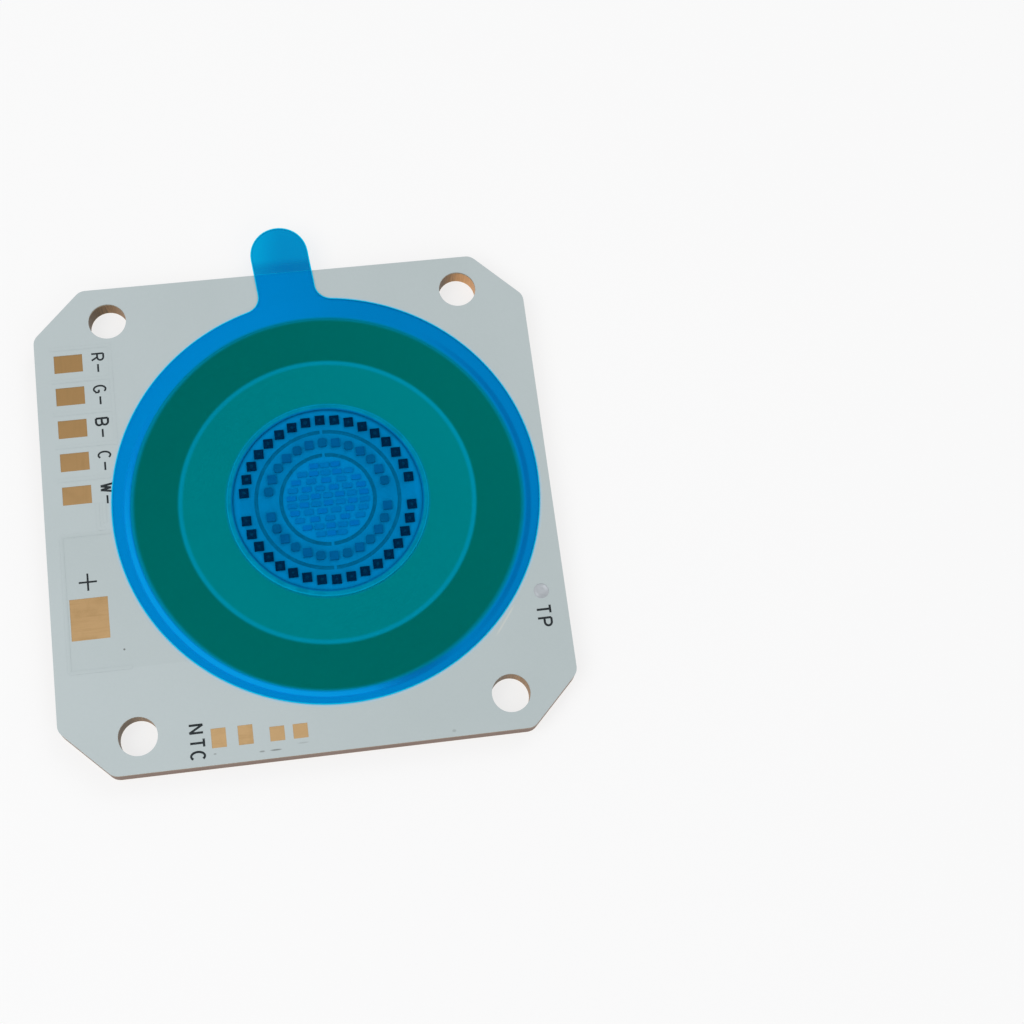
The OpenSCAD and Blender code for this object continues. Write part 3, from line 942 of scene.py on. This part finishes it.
def filmOutline(inset):  # the disc, the two inner rounds and the round-ended tab
    disc = filmR - inset
    half = tabHalf - inset
    rounding = filmLook["tabRound"] + inset
    roundSteps, sideSteps = filmLook["roundSteps"], filmLook["sideSteps"]
    roundX = half + rounding
    roundY = math.sqrt((disc + rounding) ** 2 - roundX ** 2)
    meet = math.degrees(math.atan2(roundX, roundY))
    points = arc(0, 0, disc, disc, 90 - meet, meet - 270, filmLook["discSteps"])
    points += arc(-roundX, roundY, rounding, rounding, meet - 90, 0, roundSteps)[1:]
    rise = [roundY + (tipY - roundY) * i / sideSteps for i in range(1, sideSteps)]
    points += [(-half, y) for y in rise]
    points += arc(0, tipY, half, half, 180, 0, filmLook["tipSteps"])
    points += [(half, y) for y in reversed(rise)]
    points += arc(roundX, roundY, rounding, rounding, 180, 270 - meet, roundSteps)[:-1]
    return turned(points)


def filmSheet():
    look = filmLook
    outline = filmOutline(0)
    loops = [outline, filmOutline(look["fringe"] * 0.5), filmOutline(look["fringe"])]
    bond = look["bondR"]
    radii = [*look["lightRings"], lightR, damR, damR + 0.2]
    radii += [*look["slopeRings"], bond - 0.2, bond, bond + 0.2]
    radii += [*look["goldRings"], *(goldR - look["stepRun"] * share for share in look["stepRings"])]
    for radius in radii:
        steps = look["ringSteps"] if radius > damR / 2 else look["innerSteps"]
        loops.append(arc(lightX, lightY, radius, radius, 0, 360, steps)[:-1])
    points = []
    edges = []
    for loop in loops:
        first = len(points)
        points += [Vector(p) for p in loop]
        edges += [(first + i, first + (i + 1) % len(loop)) for i in range(len(loop))]
    points.append(Vector((lightX, lightY)))
    inTab = [(x * tabHalf, y) for y in look["tabRows"] for x in (-0.5, 0, 0.5)]
    points += [Vector(p) for p in turned(inTab)]
    flat, _, faces, origins, _, _ = delaunay_2d_cdt(points, edges, [], 1, 1e-5)
    mesh = bpy.data.meshes.new("filmSheet")
    mesh.from_pydata([(p.x * mm, p.y * mm, 0) for p in flat], [], faces)
    rim = mesh.attributes.new("rim", "FLOAT", "POINT")
    for i, source in enumerate(origins):
        if source and source[0] < len(outline) * 2:
            rim.data[i].value = 1.0 if source[0] < len(outline) else 0.5
    return mesh


def filmTree():
    sizes = [
        "Middle X", "Middle Y", "Dam Radius", "Bond Radius", "Gold Radius", "Step Run",
        "Over Light", "On Gold", "On White", "Board Edge", "Tab Tip", "Tab Rise", "Thickness",
    ]
    bench, given = shapeTree("filmShape", sizes)
    size = {name: given.out(name) for name in sizes}
    place = bench.node("ShaderNodeSeparateXYZ", {}, {0: bench.node("GeometryNodeInputPosition")})
    x, y = place.out("X"), place.out("Y")
    across = x - size["Middle X"]
    along = y - size["Middle Y"]
    radius = (across * across + along * along) ** 0.5
    slope = bench.node("ShaderNodeMapRange", {}, {
        "Value": radius, "From Min": size["Dam Radius"], "From Max": size["Bond Radius"],
        "To Min": size["Over Light"], "To Max": size["On Gold"],
    })
    step = bench.smooth(radius, size["Gold Radius"] - size["Step Run"], size["Gold Radius"])
    tab = bench.smooth(y, size["Board Edge"], size["Tab Tip"])
    height = slope + step * (size["On White"] - size["On Gold"]) + tab * tab * size["Tab Rise"]
    offset = bench.node("ShaderNodeCombineXYZ", {}, {"Z": height})
    under = bench.node("GeometryNodeSetPosition", {}, {"Geometry": given, "Offset": offset})
    lift = bench.node("ShaderNodeCombineXYZ", {}, {"Z": size["Thickness"]})
    over = bench.node("GeometryNodeExtrudeMesh", {"mode": "FACES"}, {
        "Mesh": under, "Offset": lift, "Offset Scale": 1.0, "Individual": False,
    })
    sheets = [over, bench.node("GeometryNodeFlipFaces", {}, {0: under})]
    whole = bench.node("GeometryNodeJoinGeometry", {}, {0: sheets})
    closed = bench.node("GeometryNodeMergeByDistance", {}, {"Geometry": whole, "Distance": 1e-7})
    endTree(bench, given, closed)
    return bench


def filmFinish():
    f = Finish("blueFilm")
    look = filmLook
    rim = f.node("ShaderNodeAttribute", {"attribute_name": "rim"}).out("Fac")
    radius = f.radius()
    toRight = (f.x - lightX) / radius
    toLowLeft = ((lightX - f.x) + (lightY - f.y)) / (radius * math.sqrt(2))
    lit = f.smooth(toLowLeft, 0.1, 0.9)
    # painted shade on the right side of the rim
    low, high = (goldR + out for out in look["creaseShadeRun"])
    creaseShade = f.smooth(toRight, 0.5, 0.95) * f.band(radius, low, high, look["creaseShadeSoft"])
    low, high = (goldR + out for out in look["brightRun"])
    bright = lit * f.band(radius, low, high, look["brightSoft"])
    onRim = f.smooth(radius, goldR, goldR + look["rimRun"])
    onTab = f.smooth(f.y, boardHigh.y - 0.03, boardHigh.y + 0.03)  # starts sharply at the board's edge
    # painted shadow of the board on the floor, seen through the tab
    low, high = (boardHigh.y + out for out in look["boardShadowRun"])
    boardShadow = f.band(f.y, low, high, look["boardShadowSoft"])
    # painted highlight on the tab's left side
    tabLeftLit = f.smooth(f.x, *look["tabLeftHighlightRun"])
    ripple = f.noise(0.22, 0.0)
    # painted light on the rim's left and lower left
    low, high = (goldR - inside for inside in look["litPaleRun"])
    litPale = (f.smooth(toRight, 0.4, -0.4) + lit) * f.smooth(radius, low, high)
    colour = f.blend(litPale, look["body"], look["litPale"])
    colour = f.blend(onTab, colour, look["tabBody"])
    # painted highlight along the cut edge
    edge = f.smooth(rim, 0.1, 0.9)
    colour = f.blend(edge, colour, look["edge"])
    gloss = f.node("ShaderNodeLayerWeight", {}, {"Blend": 0.5}).out("Facing") ** 4
    share = look["cover"] + look["rimCover"] * onRim + look["creaseShadeCover"] * creaseShade
    share = share + look["brightCover"] * bright
    # the tab's share is partly painted shade, for the floor's shadow under it
    tabShare = look["tabCover"] - look["tabLeftHighlight"] * tabLeftLit + look["boardShadowCover"] * boardShadow
    share = share + onTab * tabShare + look["edgeHighlightCover"] * edge + look["glossCover"] * gloss
    rough = look["roughness"] + 0.1 * ripple
    body = f.principled(Base_Color=colour, Roughness=rough, Specular_IOR_Level=look["shine"])
    clear = f.node("ShaderNodeBsdfTransparent", {}, {"Color": look["clear"]})
    return f.surface(f.node("ShaderNodeMixShader", {}, {0: share, 1: clear, 2: body}))


sizes = {
    "Middle X": lightX,
    "Middle Y": lightY,
    "Dam Radius": damR,
    "Bond Radius": filmLook["bondR"],
    "Gold Radius": goldR,
    "Step Run": filmLook["stepRun"],
    "Over Light": gelTop + filmLook["hair"],
    "On Gold": foilTop + filmLook["hair"],
    "On White": whiteTop + filmLook["hair"],
    "Board Edge": boardHigh.y,
    "Tab Tip": filmHigh.y,
    "Tab Rise": filmLook["tabRise"],
    "Thickness": filmLook["thickness"],
}
film = growPiece("peel_film", filmSheet(), filmTree(), sizes, filmFinish())
for face in film.data.polygons:
    face.use_smooth = True
film.data.set_sharp_from_angle(angle=math.radians(filmLook["sharpAngle"]))
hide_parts("protective_film")
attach(film, "root")
print("film:", len(film.data.polygons), "faces")

# pale floor, soft studio light and the camera
stageLook = {
    "floorSize": 3000,
    "floorDrop": 0.0005,
    "floor": tone(124, 124, 124),
    "floorShade": tone(121, 121, 122),
    "floorGlow": 0.76,
    "floorRough": 0.7,
    "floorShine": 0.1,
    "fill": 0.5,  # light of the surroundings on the part
    "lamps": [  # name, place, size and power
        ("keySoftbox", (-190, -90, 330), 260, 0.58),
        ("backSoftbox", (170, 210, 300), 220, 0.28),
        ("frontSoftbox", (120, -280, 220), 200, 0.16),
    ],
    "aim": (0, 0, 2),
}


def floorFinish():
    f = Finish("paleFloor")
    cloud = f.noise(0.01, 2.0)
    colour = f.blend(cloud, stageLook["floor"], stageLook["floorShade"])
    gloss = {"Roughness": stageLook["floorRough"], "Specular_IOR_Level": stageLook["floorShine"]}
    glow = {"Emission_Color": (1, 1, 1, 1), "Emission_Strength": stageLook["floorGlow"]}
    return f.surface(f.principled(Base_Color=colour, **gloss, **glow))


half = stageLook["floorSize"] / 2 * mm
floorCorners = [(-half, -half, 0), (half, -half, 0), (half, half, 0), (-half, half, 0)]
floorMesh = bpy.data.meshes.new("floor")
floorMesh.from_pydata(floorCorners, [], [(0, 1, 2, 3)])
floor = addPiece("floor", floorMesh, floorFinish())
floor.location.z = -stageLook["floorDrop"] * mm

for name, place, size, power in stageLook["lamps"]:
    lamp = bpy.data.lights.new(name, "AREA")
    lamp.shape = "SQUARE"
    lamp.size = size * mm
    lamp.energy = power
    holder = bpy.data.objects.new(name, lamp)
    holder.location = Vector(place) * mm
    toward = Vector(stageLook["aim"]) - Vector(place)
    holder.rotation_euler = toward.to_track_quat("-Z", "Y").to_euler()
    bpy.context.scene.collection.objects.link(holder)

world = bpy.data.worlds.new("studio")
world.use_nodes = True
world.node_tree.nodes.clear()
sky = Bench(world.node_tree)
path = sky.node("ShaderNodeLightPath")
seen = path.out("Is Camera Ray") + path.out("Is Glossy Ray") + path.out("Is Transmission Ray")
white = sky.node("ShaderNodeBackground", {}, {"Color": (1, 1, 1, 1), "Strength": 1.0})
dim = sky.node("ShaderNodeBackground", {}, {"Color": (1, 1, 1, 1), "Strength": stageLook["fill"]})
both = sky.node("ShaderNodeMixShader", {}, {0: seen, 1: dim, 2: white})
sky.node("ShaderNodeOutputWorld", {}, {"Surface": both})
bpy.context.scene.world = world

cameraLook = {
    "place": (1.016, -58.629, 187.007),
    "aim": (21.632, -3.403, 2.5),
    "roll": 13.53,
    "lens": 64.25,
    "sensor": 36.0,
    "nearest": 0.01,
}
eye = bpy.data.cameras.new("photoCamera")
eye.lens = cameraLook["lens"]
eye.sensor_width = cameraLook["sensor"]
eye.clip_start = cameraLook["nearest"]
camera = bpy.data.objects.new("photoCamera", eye)
toward = Vector(cameraLook["aim"]) - Vector(cameraLook["place"])
turn = toward.to_track_quat("-Z", "Y").to_matrix().to_4x4()
roll = Matrix.Rotation(math.radians(cameraLook["roll"]), 4, "Z")
camera.matrix_world = Matrix.Translation(Vector(cameraLook["place"]) * mm) @ turn @ roll
bpy.context.scene.collection.objects.link(camera)
bpy.context.scene.camera = camera
bpy.context.scene.view_settings.view_transform = "Standard"
print("stage set")
